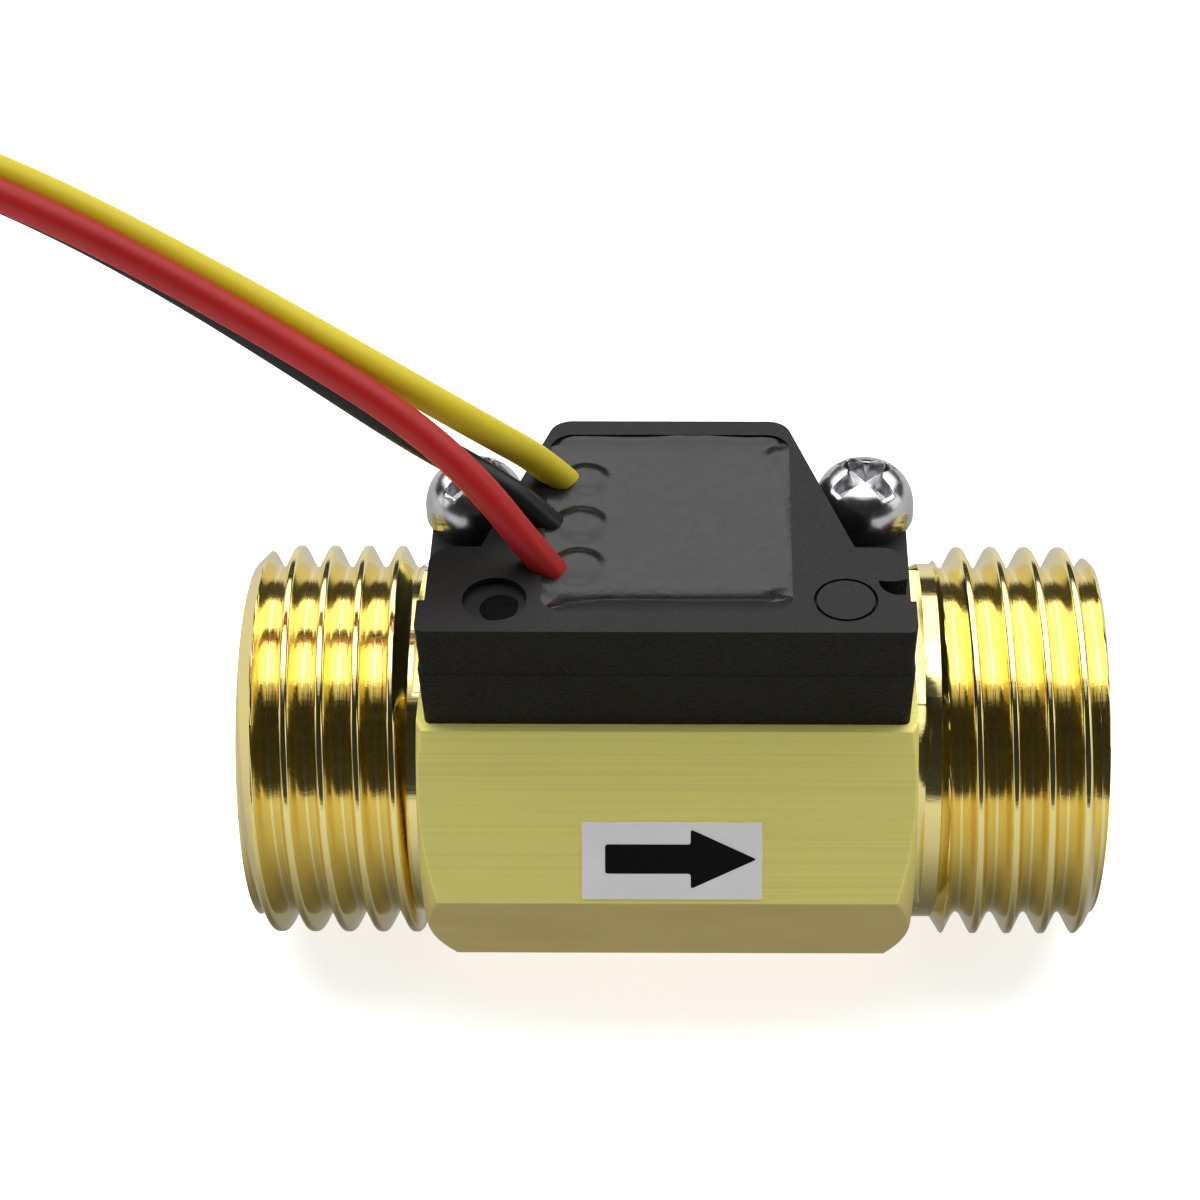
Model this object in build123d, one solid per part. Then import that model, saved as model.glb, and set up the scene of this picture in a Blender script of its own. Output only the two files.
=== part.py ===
"""Turbine flow sensor with a G1/2 male thread at each end.

Millimetres.  Everything is drawn about the flow axis, with its origin at the middle of the brass
body, and lifted at export so that the part stands on the origin: the middle of the hexagon's
bottom flat.  +X is the flow, -Y the side of the flow arrow and +Z the side of the sensor case.
"""
import os
from math import cos, radians, sin, sqrt, tan

from build123d import *

os.makedirs("parts", exist_ok=True)

# Brass body
body_length = 44.5
across_flats = 21.0
axis_height = across_flats / 2
hexagon_length = 25.4
middle_x = -0.27  # middle of the hexagon, the case and its screws, from the body's middle
hexagon_chamfer_angle = 30.0
hexagon_chamfer_start_r = 10.35
thread_r = 10.4
thread_end_chamfer = 0.9
inlet_relief_length = 0.9
outlet_relief_length = 1.25
thread_relief_r = 9.2
seat_height = 7.84
seat_overrun_inlet = 0.35
seat_overrun_outlet = 0.45

# Stepped bore
inlet_bore_r = 7.5
chamber_r = 6.5
outlet_bore_r = 5.6
mouth_chamfer = 0.5
inlet_shoulder_x = -12.0
outlet_shoulder_x = 8.6
ring_groove_r = 7.95
ring_groove_width = 1.0

# Inlet and outlet guides
guide_fit_gap = 0.03
guide_ring_length = 4.0
inlet_ring_bore_r = 6.4
outlet_ring_bore_r = 5.6
guide_hub_r = 2.4
inlet_nose_tip_x = -17.8
inlet_nose_length = 1.8
inlet_hub_end_x = -9.2
outlet_hub_start_x = 2.8
outlet_tail_start_x = 8.4
outlet_tail_length = 3.0
tail_tip_r = 0.6
inlet_vane_count = 5
outlet_vane_count = 3
vane_thickness = 0.9

# Retaining ring
retaining_ring_thickness = 0.9
retaining_ring_bore_r = 6.9
retaining_ring_gap_angle = 50.0

# Turning set: rotor, magnet and shaft
shaft_r = 0.75
shaft_start_x = -11.3
shaft_end_x = 4.9
running_clearance = 0.03
bush_r = 1.4
bush_length = 2.3
bush_pocket_depth = 2.4
washer_r = 1.9
washer_thickness = 0.4
washer_bore_clearance = 0.05
end_float = 0.1
rotor_hub_r = 2.4
blade_count = 6
blade_tip_r = 6.1
blade_root_thickness = 0.9
blade_start_x = -8.3
blade_length = 6.9
blade_lead = 24.0
flange_r = 4.2
flange_thickness = 0.5
magnet_r = 4.2
magnet_bore_r = 1.9
magnet_length = 3.0

# Sensor case
case_half_width = 12.38
case_front_y = -7.28
case_back_y = 9.46
case_top_z = 14.3
case_draft = 2.2
bar_back_y = -4.95
lobe_half_width = 12.0
lobe_back_y = -0.85
plateau_front_half_width = 9.45
plateau_back_half_width = 6.05
plateau_corner_r = 1.2
lobe_corner_r = 1.3
foot_corner_r = 0.5
ear_top_z = 11.3
ear_end_wall = 2.2
ear_front_y = -7.18
ear_back_y = 7.42
ear_corner_r = 1.85
cavity_half_width = 6.27
cavity_front_y = -5.75
cavity_back_y = 8.3
cavity_floor_z = 8.8
cavity_corner_r = 1.2
marker_r = 1.6
marker_depth = 0.4
left_marker_x = -8.8
right_marker_x = 8.62
marker_y = -4.85
marker_ring_width = 0.15
slot_r = 1.06
slot_x = 11.35
slot_y = -3.42
slot_depth = 2.0
slot_cover_r = 2.25
slot_cover_x = 10.85
slot_cover_y = -1.2
nose_length = 5.2
nose_width = 3.9
nose_depth = 0.55
nose_clearance = 0.1
pocket_end_clearance = 0.05

# Case screws, M2.5
screw_spacing = 20.4
screw_y = 5.5
screw_thread_r = 1.25
screw_hole_r = 1.35
screw_tip_z = 5.6
screw_head_r = 2.63
screw_head_edge = 1.75
screw_head_height = 2.5
cross_width = 0.9
cross_length = 3.5
cross_depth = 1.3
cross_turn = 40.0
tapped_hole_tip_z = 5.45

# Electronics
hall_x = 0.6
hall_length = 4.0
hall_width = 2.9
hall_height = 1.5
hall_bottom_z = 7.75
hall_recess_gap = 0.1
lead_pitch = 1.27
lead_width = 0.4
lead_reach = 1.0
lead_top_proud = 0.4
board_length = 11.6
board_width = 11.0
board_thickness = 1.0
board_bottom_z = 10.2
board_y = 1.3
board_hole_r = 0.4
chip_length = 2.0
chip_width = 1.25
resistor_height = 0.5
capacitor_height = 0.9
resistor_spot = (2.6, -1.6)
capacitor_spot = (2.6, 4.9)
potting_top_z = 13.75
solder_r = 1.0
solder_height = 0.75

# Flow label on the front upper flat
label_length = 9.15
label_height = 4.04
label_thickness = 0.1
label_x = 0.38
label_above_edge = 2.32

# Leads: where each one goes, from its pad on the board to its contact
wire_r = 0.8
wire_notch_clearance = 0.03
red_route = [
    (-4.6, -2.6, 11.9), (-7, -2.1, 15.1), (-9.6, -0.5, 18.1), (-13.1, 1.6, 20.4),
    (-18.6, 3.8, 23.1), (-24.7, 5.4, 26.3), (-30.7, 6.7, 29.2), (-36.9, 7.9, 31.4),
    (-43.3, 8.3, 32.4), (-49.6, 6.3, 32.2), (-55.3, 2.4, 30.4), (-60, -3.2, 27),
    (-63.1, -9.4, 22.1), (-64.8, -14.4, 16), (-65.6, -16.9, 9.4), (-65.9, -17.3, 3.8),
    (-65.9, -17.2, -1.5), (-63.6, -17, -5.3), (-59.7, -17, -7.6), (-55.2, -17, -7.6),
]
black_route = [
    (-4.6, 1.3, 11.7), (-7, 1.45, 14.7), (-9.6, 2.1, 16.5), (-13.1, 2.9, 18.3),
    (-18.8, 5.2, 21.2), (-24.9, 7.3, 24.4), (-30.9, 8.8, 27.4), (-37, 10.1, 29.7),
    (-43.6, 9.8, 30.5), (-50, 7.8, 30.3), (-55.8, 3.9, 28.7), (-60.7, -1.7, 25.5),
    (-64.2, -8, 21.1), (-66.3, -13.3, 15.5), (-67.4, -17.1, 9.6), (-66.8, -19.1, 4),
    (-65.9, -19.5, -1.4), (-63.6, -19.5, -5.3), (-59.7, -19.5, -7.6), (-55.2, -19.5, -7.6),
]
yellow_route = [
    (-4.4, 5.3, 12), (-6.7, 4.8, 15.2), (-9.1, 3.65, 17.9), (-13, 3.75, 20.7),
    (-18.8, 5.65, 23.4), (-24.9, 7.15, 26.5), (-30.9, 8.45, 29.4), (-37.1, 9.7, 31.6),
    (-43.5, 10.1, 32.6), (-50.4, 8.1, 32.3), (-56.7, 3.9, 30.5), (-61.8, -2.1, 27.1),
    (-65.3, -8.7, 22.4), (-67.4, -14.3, 16.5), (-68.1, -18.7, 10.2), (-67, -21.1, 4.3),
    (-65.9, -21.8, -1.3), (-63.6, -22, -5.3), (-59.7, -22, -7.6), (-55.2, -22, -7.6),
]
arc_share = 0.45  # of the shorter run that each bend takes

# Three-way connector that lies on the same surface as the body
housing_rear_x = -57.7
housing_length = 12.0
housing_width = 10.0
housing_height = 5.8
housing_corner_r = 0.4
contact_pitch = 2.5
contact_width = 2.1
contact_length = 8.2
contact_bore = 1.3
contact_bore_depth = 5.0
rib_width = 1.2
rib_height = 0.5
rib_length = 7.0

# Places that follow from the sizes above
hexagon_start_x = middle_x - hexagon_length / 2
hexagon_end_x = middle_x + hexagon_length / 2
magnet_start_x = blade_start_x + blade_length + flange_thickness
rotor_start_x = inlet_hub_end_x + washer_thickness + end_float
rotor_end_x = outlet_hub_start_x - washer_thickness - end_float
screw_xs = [middle_x - screw_spacing / 2, middle_x + screw_spacing / 2]
ear_half_width = screw_spacing / 2 + ear_end_wall
board_top_z = board_bottom_z + board_thickness
lead_y = board_y + lead_reach
entry_y = black_route[-1][1]
entry_z = black_route[-1][2]


def turned(outline):
    """A solid of revolution about the flow axis, from its (x, radius) outline."""
    return revolve(make_face(Polyline(*outline, close=True)), Axis.X, 360)


def tube(start_x, end_x, outer_r, inner_r):
    """A plain ring about the flow axis."""
    return turned([(start_x, inner_r), (start_x, outer_r), (end_x, outer_r), (end_x, inner_r)])


def block(size, low_corner):
    """A box of a given size, placed by its lowest corner."""
    return Pos(*low_corner) * Box(*size, align=(Align.MIN, Align.MIN, Align.MIN))


def upright(radius, bottom_z, top_z, x, y):
    """A vertical cylinder between two heights."""
    bottom_up = (Align.CENTER, Align.CENTER, Align.MIN)
    return Pos(x, y, bottom_z) * Cylinder(radius, top_z - bottom_z, align=bottom_up)


def rounded_plan(corners):
    """A flat outline from (x, y, radius) corners, each rounded by its own radius."""
    face = make_face(Polyline(*[(x, y) for x, y, _ in corners], close=True))
    for x, y, radius in corners:
        if radius > 0:
            corner = face.vertices().sort_by_distance((x, y, 0))[0]
            face = fillet(corner, radius)
    return face


def mirrored_plan(half_corners):
    """A plan outline that is the same on both sides of the case's middle."""
    right = [(middle_x + x, y, radius) for x, y, radius in half_corners]
    left = [(middle_x - x, y, radius) for x, y, radius in reversed(half_corners)]
    return rounded_plan(right + left)


def drafted_block(plan, top_z, bottom_z):
    """A moulded block that narrows downwards by the case's draft."""
    top = Pos(0, 0, top_z) * plan
    return extrude(top, amount=top_z - bottom_z, dir=(0, 0, -1), taper=case_draft)


def vane_star(count, length, start_x, root_r, tip_r, thickness, twist=0):
    """Radial vanes on a core, grown along the flow axis and turned by the twist on the way."""
    star = Circle(root_r)
    for index in range(count):
        blade = Pos(tip_r / 2, 0) * Rectangle(tip_r, thickness)
        star += Rot(0, 0, index * 360 / count) * blade
    if twist:
        grown = Solid.extrude_linear_with_rotation(
            section=star.faces()[0].outer_wire(), center=(0, 0, 0), normal=(0, 0, length),
            angle=twist)
    else:
        grown = extrude(star, amount=length)
    return Pos(start_x, 0, 0) * Rot(0, 90, 0) * grown


def hexagon_bar():
    """The bar between the threads, its corners turned off at 30 degrees at both ends."""
    profile = Plane.YZ * RegularPolygon(across_flats / sqrt(3), 6)
    bar = Pos(hexagon_start_x, 0, 0) * extrude(profile, amount=hexagon_length, dir=(1, 0, 0))
    rise = hexagon_length / 2 / tan(radians(hexagon_chamfer_angle))
    corner_turning = turned([
        (hexagon_start_x, 0), (hexagon_start_x, hexagon_chamfer_start_r),
        (middle_x, hexagon_chamfer_start_r + rise),
        (hexagon_end_x, hexagon_chamfer_start_r), (hexagon_end_x, 0),
    ])
    return bar & corner_turning


def threaded_spigots():
    """Both thread blanks at their major diameter, with a relief beside the hexagon."""
    half = body_length / 2
    tip_r = thread_r - thread_end_chamfer
    relief_start_x = hexagon_start_x - inlet_relief_length
    relief_end_x = hexagon_end_x + outlet_relief_length
    return turned([
        (-half, 0), (-half, tip_r), (thread_end_chamfer - half, thread_r),
        (relief_start_x, thread_r), (relief_start_x, thread_relief_r),
        (relief_end_x, thread_relief_r), (relief_end_x, thread_r),
        (half - thread_end_chamfer, thread_r), (half, tip_r), (half, 0),
    ])


def stepped_bore():
    """Everything that is bored out of the body, mouth to mouth."""
    half = body_length / 2
    groove_end_x = inlet_shoulder_x - guide_ring_length
    groove_start_x = groove_end_x - ring_groove_width
    return turned([
        (-half, 0), (-half, inlet_bore_r + mouth_chamfer), (mouth_chamfer - half, inlet_bore_r),
        (groove_start_x, inlet_bore_r), (groove_start_x, ring_groove_r),
        (groove_end_x, ring_groove_r), (groove_end_x, inlet_bore_r),
        (inlet_shoulder_x, inlet_bore_r), (inlet_shoulder_x, chamber_r),
        (outlet_shoulder_x, chamber_r), (outlet_shoulder_x, outlet_bore_r),
        (half - mouth_chamfer, outlet_bore_r), (half, outlet_bore_r + mouth_chamfer), (half, 0),
    ])


def make_body():
    """Hexagon bar with both thread blanks, the milled seat, the bore and the tapped holes."""
    body = hexagon_bar() + threaded_spigots() - stepped_bore()
    seat_start_x = hexagon_start_x - seat_overrun_inlet
    seat_length = hexagon_length + seat_overrun_inlet + seat_overrun_outlet
    seat_size = (seat_length, 2 * across_flats, across_flats)
    body -= block(seat_size, (seat_start_x, -across_flats, seat_height))
    for x in screw_xs:
        body -= upright(screw_thread_r, tapped_hole_tip_z, seat_height, x, screw_y)
    pocket_length = nose_length + 2 * nose_clearance
    pocket_width = nose_width + 2 * nose_clearance
    pocket_depth = nose_depth + pocket_end_clearance
    pocket_size = (pocket_length, pocket_width, pocket_depth)
    pocket_corner = (hall_x - pocket_length / 2, -pocket_width / 2, seat_height - pocket_depth)
    return body - block(pocket_size, pocket_corner)


def make_inlet_guide():
    """Flow straightener: seating ring, vanes and a hub with a rounded nose and a bush pocket."""
    ring_start_x = inlet_shoulder_x - guide_ring_length
    ring_r = inlet_bore_r - guide_fit_gap
    ring = tube(ring_start_x, inlet_shoulder_x, ring_r, inlet_ring_bore_r)
    vanes = vane_star(inlet_vane_count, guide_ring_length, ring_start_x, bush_r,
                      (ring_r + inlet_ring_bore_r) / 2, vane_thickness)
    nose_end_x = inlet_nose_tip_x + inlet_nose_length
    hub_length = inlet_hub_end_x - nose_end_x
    profile = Pos(nose_end_x, 0) * Ellipse(inlet_nose_length, guide_hub_r)
    profile += Pos(nose_end_x, 0) * Rectangle(
        hub_length, 2 * guide_hub_r, align=(Align.MIN, Align.CENTER))
    profile &= Pos(inlet_nose_tip_x, 0) * Rectangle(
        2 * body_length, guide_hub_r, align=(Align.MIN, Align.MIN))
    hub = revolve(profile, Axis.X, 360)
    pocket = tube(inlet_hub_end_x - bush_pocket_depth, inlet_hub_end_x, bush_r, 0)
    return ring + vanes + hub - pocket


def make_outlet_guide():
    """Bearing spider: seating ring, vanes and a hub with a bush pocket and a tail cone."""
    ring_start_x = outlet_shoulder_x - guide_ring_length
    ring_r = chamber_r - guide_fit_gap
    ring = tube(ring_start_x, outlet_shoulder_x, ring_r, outlet_ring_bore_r)
    vanes = vane_star(outlet_vane_count, guide_ring_length, ring_start_x, guide_hub_r,
                      (ring_r + outlet_ring_bore_r) / 2, vane_thickness)
    tail_end_x = outlet_tail_start_x + outlet_tail_length
    hub = turned([
        (outlet_hub_start_x, 0), (outlet_hub_start_x, guide_hub_r),
        (outlet_tail_start_x, guide_hub_r), (tail_end_x, tail_tip_r), (tail_end_x, 0),
    ])
    pocket = tube(outlet_hub_start_x, outlet_hub_start_x + bush_pocket_depth, bush_r, 0)
    return ring + vanes + hub - pocket


def make_retaining_ring():
    """Open spring ring that holds the inlet guide against its shoulder."""
    end_x = inlet_shoulder_x - guide_ring_length
    ring = tube(end_x - retaining_ring_thickness, end_x, ring_groove_r, retaining_ring_bore_r)
    reach = 2 * ring_groove_r
    half_gap = radians(retaining_ring_gap_angle / 2)
    wedge = make_face(Polyline(
        (0, 0), (reach * sin(half_gap), reach * cos(half_gap)),
        (-reach * sin(half_gap), reach * cos(half_gap)), close=True))
    gap = extrude(Plane.YZ * wedge, amount=2 * retaining_ring_thickness, both=True)
    return ring - Pos(end_x, 0, 0) * gap


def make_rotor():
    """Turbine rotor: helical blades on a hub, with a flange and a spigot for the magnet."""
    twist = 360 * blade_length / blade_lead
    blades = vane_star(blade_count, blade_length, blade_start_x, rotor_hub_r,
                       blade_tip_r + guide_fit_gap, blade_root_thickness, twist)
    envelope = tube(blade_start_x, blade_start_x + blade_length, blade_tip_r, 0)
    hub = tube(rotor_start_x, blade_start_x + blade_length, rotor_hub_r, 0)
    flange = tube(blade_start_x + blade_length, magnet_start_x, flange_r, 0)
    spigot = tube(magnet_start_x, rotor_end_x, magnet_bore_r, 0)
    return (blades & envelope) + hub + flange + spigot - tube(rotor_start_x, rotor_end_x, shaft_r, 0)


def make_bush(pocket_bottom_x, towards):
    """Plain bearing bush, pressed against the bottom of its pocket."""
    low_x, high_x = sorted((pocket_bottom_x, pocket_bottom_x + towards * bush_length))
    return tube(low_x, high_x, bush_r, shaft_r + running_clearance)


def make_thrust_washers():
    """One washer on each guide's hub face, around the shaft."""
    bore_r = shaft_r + washer_bore_clearance
    inlet = tube(inlet_hub_end_x, inlet_hub_end_x + washer_thickness, washer_r, bore_r)
    outlet = tube(outlet_hub_start_x - washer_thickness, outlet_hub_start_x, washer_r, bore_r)
    return [inlet, outlet]


def case_cavity(top_z):
    """The open box that holds the board and the potting."""
    corners = [
        (cavity_half_width, cavity_front_y, cavity_corner_r),
        (cavity_half_width, cavity_back_y, cavity_corner_r),
    ]
    plan = Pos(0, 0, cavity_floor_z) * mirrored_plan(corners)
    return extrude(plan, amount=top_z - cavity_floor_z, dir=(0, 0, 1))


def case_shell():
    """The outside of the moulding: the low ears, and the high bar, lobes and plateau."""
    ears = drafted_block(mirrored_plan([
        (ear_half_width, ear_front_y, foot_corner_r),
        (ear_half_width, ear_back_y, ear_corner_r),
    ]), ear_top_z, seat_height)
    crown = drafted_block(mirrored_plan([
        (case_half_width, case_front_y, foot_corner_r),
        (case_half_width, bar_back_y, 0),
        (lobe_half_width, bar_back_y, 0),
        (lobe_half_width, lobe_back_y, lobe_corner_r),
        (plateau_front_half_width, lobe_back_y, 0),
        (plateau_back_half_width, case_back_y, plateau_corner_r),
    ]), case_top_z, seat_height)
    return ears + crown


def case_markings():
    """Ejector marks in the front bar and the half-covered slot beside the outlet."""
    recess_z = case_top_z - marker_depth
    marks = upright(marker_r, recess_z, case_top_z, left_marker_x, marker_y)
    ring = upright(marker_r, recess_z, case_top_z, right_marker_x, marker_y)
    ring -= upright(marker_r - marker_ring_width, recess_z, case_top_z, right_marker_x, marker_y)
    slot_z = case_top_z - slot_depth
    slot = upright(slot_r, slot_z, case_top_z, slot_x, slot_y)
    slot -= upright(slot_cover_r, slot_z, case_top_z, slot_cover_x, slot_cover_y)
    return marks + ring + slot


def make_sensor_case(wires):
    """Moulded case on the milled seat, open at the top, with a nose for the Hall sensor."""
    case = case_shell() - case_cavity(case_top_z) - case_markings()
    nose_size = (nose_length, nose_width, nose_depth)
    case += block(nose_size, (hall_x - nose_length / 2, -nose_width / 2, seat_height - nose_depth))
    recess_length = hall_length + 2 * hall_recess_gap
    recess_width = hall_width + 2 * hall_recess_gap
    recess_size = (recess_length, recess_width, cavity_floor_z - hall_bottom_z)
    case -= block(recess_size, (hall_x - recess_length / 2, -recess_width / 2, hall_bottom_z))
    for x in screw_xs:
        case -= upright(screw_hole_r, seat_height, case_top_z, x, screw_y)
    for route in wires:
        case -= wire_tube(route[:3], wire_r + wire_notch_clearance)
    return case


def make_hall_sensor():
    """Flat Hall switch with three leads that are bent up through the board."""
    sensor = block((hall_length, hall_width, hall_height),
                   (hall_x - hall_length / 2, -hall_width / 2, hall_bottom_z))
    level_z = hall_bottom_z + hall_height - lead_width
    top_z = board_top_z + lead_top_proud
    for side in (-1, 0, 1):
        low_x = hall_x + side * lead_pitch - lead_width / 2
        level_length = lead_y + lead_width / 2 - hall_width / 2
        sensor += block((lead_width, level_length, lead_width), (low_x, hall_width / 2, level_z))
        sensor += block((lead_width, lead_width, top_z - level_z),
                        (low_x, lead_y - lead_width / 2, level_z))
    return sensor


def make_board():
    """Circuit board with the holes for the sensor's leads."""
    board = block((board_length, board_width, board_thickness),
                  (middle_x - board_length / 2, board_y - board_width / 2, board_bottom_z))
    for side in (-1, 0, 1):
        x = hall_x + side * lead_pitch
        board -= upright(board_hole_r, board_bottom_z, board_top_z, x, lead_y)
    return board


def make_chip(spot, height):
    """Small surface-mounted part on top of the board."""
    x, y = spot
    return block((chip_length, chip_width, height),
                 (x - chip_length / 2, y - chip_width / 2, board_top_z))


def make_solder_joints(wires, tubes):
    """A solder mound under the end of each lead."""
    mounds = []
    for route, lead in zip(wires, tubes):
        x, y, _ = route[0]
        mounds.append(upright(solder_r, board_top_z, board_top_z + solder_height, x, y) - lead)
    return mounds


def make_potting(contents):
    """Resin that fills the cavity around the board, its parts and the leads."""
    resin = case_cavity(potting_top_z)
    for piece in contents:
        resin -= piece
    return resin


def make_screw(x):
    """Pan-head screw with a cross recess, its thread at the major diameter."""
    edge_z = ear_top_z + screw_head_edge
    rise = screw_head_height - screw_head_edge
    dome_r = (screw_head_r ** 2 + rise ** 2) / (2 * rise)
    dome = Pos(0, 0, edge_z + rise - dome_r) * Sphere(dome_r)
    column = upright(screw_head_r, ear_top_z, ear_top_z + screw_head_height, 0, 0)
    screw = (dome & column) + upright(screw_thread_r, screw_tip_z, ear_top_z, 0, 0)
    recess_z = ear_top_z + screw_head_height - cross_depth
    for size in ((cross_length, cross_width), (cross_width, cross_length)):
        arm = block((*size, cross_depth), (-size[0] / 2, -size[1] / 2, recess_z))
        screw -= Rot(0, 0, cross_turn) * arm
    return Pos(x, screw_y, 0) * screw


def make_flow_label():
    """Thin sticker for the flow arrow, on the front upper flat of the hexagon."""
    outward = Vector(0, -cos(radians(30)), sin(radians(30)))
    up_face = Vector(0, sin(radians(30)), cos(radians(30)))
    edge_to_middle = across_flats / sqrt(3) / 2
    middle = outward * (across_flats / 2) + up_face * (label_above_edge - edge_to_middle)
    face_plane = Plane(origin=middle + Vector(label_x, 0, 0), x_dir=(1, 0, 0), z_dir=outward)
    return face_plane * Box(label_length, label_height, label_thickness,
                            align=(Align.CENTER, Align.CENTER, Align.MIN))


def bend_radii(route):
    """The largest radius that each corner of a route has room for."""
    points = [Vector(*point) for point in route]
    radii = []
    for before, corner, after in zip(points, points[1:], points[2:]):
        arriving, leaving = corner - before, after - corner
        shorter = min(arriving.length, leaving.length)
        radii.append(arc_share * shorter / tan(radians(arriving.get_angle(leaving)) / 2))
    return radii


def wire_tube(route, radius):
    """A lead's solid: straight runs along its route, joined by tangent arcs."""
    path = FilletPolyline(*route, radius=bend_radii(route))
    section = Plane(origin=path @ 0, z_dir=path % 0) * Circle(radius)
    return sweep(section, path=path)


def make_connector_housing():
    """Three-way housing with a cavity for each contact and two guide ribs on top."""
    bottom_z = -axis_height
    housing = Pos(housing_rear_x + housing_length / 2, entry_y, bottom_z + housing_height / 2) * Box(
        housing_length, housing_width, housing_height)
    housing = fillet(housing.edges().filter_by(Axis.X), housing_corner_r)
    for side in (-1, 0, 1):
        low_y = entry_y + side * contact_pitch - contact_width / 2
        housing -= block((housing_length, contact_width, contact_width),
                         (housing_rear_x, low_y, entry_z - contact_width / 2))
    rib_x = housing_rear_x + housing_length - rib_length
    for side in (-1, 1):
        rib_y = entry_y + side * (housing_width / 2 - rib_width) - rib_width / 2
        housing += block((rib_length, rib_width, rib_height),
                         (rib_x, rib_y, bottom_z + housing_height))
    return housing


def make_contacts():
    """The three crimped contacts, each with an open front."""
    contacts = []
    start_x = red_route[-1][0]
    for side in (-1, 0, 1):
        y = entry_y + side * contact_pitch
        contact = block((contact_length, contact_width, contact_width),
                        (start_x, y - contact_width / 2, entry_z - contact_width / 2))
        bore_size = (contact_bore_depth, contact_bore, contact_bore)
        bore_x = start_x + contact_length - contact_bore_depth
        contact -= block(bore_size, (bore_x, y - contact_bore / 2, entry_z - contact_bore / 2))
        contacts.append(contact)
    return contacts


def save(name, shape):
    """Lift one node onto its place over the bottom flat and write it."""
    solids = shape if isinstance(shape, list) else [shape]
    lifted = [Pos(0, 0, axis_height) * solid for solid in solids]
    node = lifted[0] if len(lifted) == 1 else Compound(children=lifted)
    node.label = name
    export_step(node, f"parts/{name}.step")
    volume = sum(solid.volume for solid in solids)
    print(f"{name}: {volume:.2f} mm3 in {sum(len(s.solids()) for s in solids)} solid(s)")


routes = {"wire_red": red_route, "wire_black": black_route, "wire_yellow": yellow_route}
tubes = {}
for name, route in routes.items():
    tubes[name] = wire_tube(route, wire_r)
    radii = ", ".join(f"{radius:.1f}" for radius in bend_radii(route))
    print(f"{name}: bend radii {radii}")
    length = FilletPolyline(*route, radius=bend_radii(route)).length
    section_area = Circle(wire_r).area
    print(f"{name}: length {length:.1f}, section times length {section_area * length:.2f}")

hall_sensor = make_hall_sensor()
board = make_board()
resistor = make_chip(resistor_spot, resistor_height)
capacitor = make_chip(capacitor_spot, capacitor_height)
solder_joints = make_solder_joints(routes.values(), tubes.values())
potted = [hall_sensor, board, resistor, capacitor, *solder_joints, *tubes.values()]

save("body", make_body())
save("inlet_guide", make_inlet_guide())
save("outlet_guide", make_outlet_guide())
save("retaining_ring", make_retaining_ring())
save("rotor", make_rotor())
save("ring_magnet", tube(magnet_start_x, magnet_start_x + magnet_length, magnet_r, magnet_bore_r))
save("shaft", tube(shaft_start_x, shaft_end_x, shaft_r, 0))
save("inlet_bush", make_bush(inlet_hub_end_x - bush_pocket_depth, 1))
save("outlet_bush", make_bush(outlet_hub_start_x + bush_pocket_depth, -1))
save("thrust_washers", make_thrust_washers())
save("sensor_case", make_sensor_case(routes.values()))
save("hall_sensor", hall_sensor)
save("circuit_board", board)
save("resistor", resistor)
save("capacitor", capacitor)
save("solder_joints", solder_joints)
save("potting", make_potting(potted))
save("case_screws", [make_screw(x) for x in screw_xs])
save("flow_label", make_flow_label())
for name, lead in tubes.items():
    save(name, lead)
save("connector_housing", make_connector_housing())
save("connector_contacts", make_contacts())
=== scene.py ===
"""Studio scene of a turbine flow sensor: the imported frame, dressed with detailed meshes.

Lengths are in millimetres about the flow axis, and become metres over the base when a mesh is made:
+X is the flow, -Y the side of the flow arrow and +Z the side of the sensor case.
"""

import logging
import math
from collections.abc import Callable
from dataclasses import dataclass, field
from enum import Enum
from typing import ClassVar

import bmesh
import bpy
import numpy as np
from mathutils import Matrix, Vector

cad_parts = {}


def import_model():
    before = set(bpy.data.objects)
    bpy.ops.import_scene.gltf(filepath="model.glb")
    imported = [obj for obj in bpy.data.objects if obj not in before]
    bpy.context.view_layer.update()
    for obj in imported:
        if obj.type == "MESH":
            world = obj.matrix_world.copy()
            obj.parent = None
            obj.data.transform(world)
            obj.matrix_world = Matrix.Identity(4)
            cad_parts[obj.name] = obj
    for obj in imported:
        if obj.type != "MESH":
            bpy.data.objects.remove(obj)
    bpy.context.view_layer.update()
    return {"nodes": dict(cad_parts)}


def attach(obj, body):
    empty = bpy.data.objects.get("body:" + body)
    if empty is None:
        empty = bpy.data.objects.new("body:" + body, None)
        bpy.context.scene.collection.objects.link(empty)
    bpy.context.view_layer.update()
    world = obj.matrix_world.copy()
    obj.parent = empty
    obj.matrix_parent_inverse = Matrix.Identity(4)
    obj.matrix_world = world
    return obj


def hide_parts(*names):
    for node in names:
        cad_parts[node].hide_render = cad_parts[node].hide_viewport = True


LOG = logging.getLogger("flow_sensor")
MM = 0.001
ACROSS_FLATS = 21.0
AXIS_HEIGHT = ACROSS_FLATS / 2.0


class Body(str, Enum):
    """The rigid bodies of the part."""

    HOUSING = "housing"
    TURBINE = "turbine"


class Mark(Enum):
    """How a surface's fine relief runs."""

    GRAIN = (1.0, 1.0, 1.0)
    BRUSHED_ALONG = (0.06, 1.0, 1.0)
    MILLED = (0.006, 1.0, 1.0)
    TURNED = (1.0, 0.08, 0.08)


def to_frame(points: np.ndarray) -> np.ndarray:
    """Take millimetres about the flow axis to metres over the base.

    Args:
        points: An array of shape (n, 3).

    Returns:
        The same points in the part's frame.
    """
    lifted = np.array(points, dtype=float)
    lifted[:, 2] += AXIS_HEIGHT
    return lifted * MM


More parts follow.
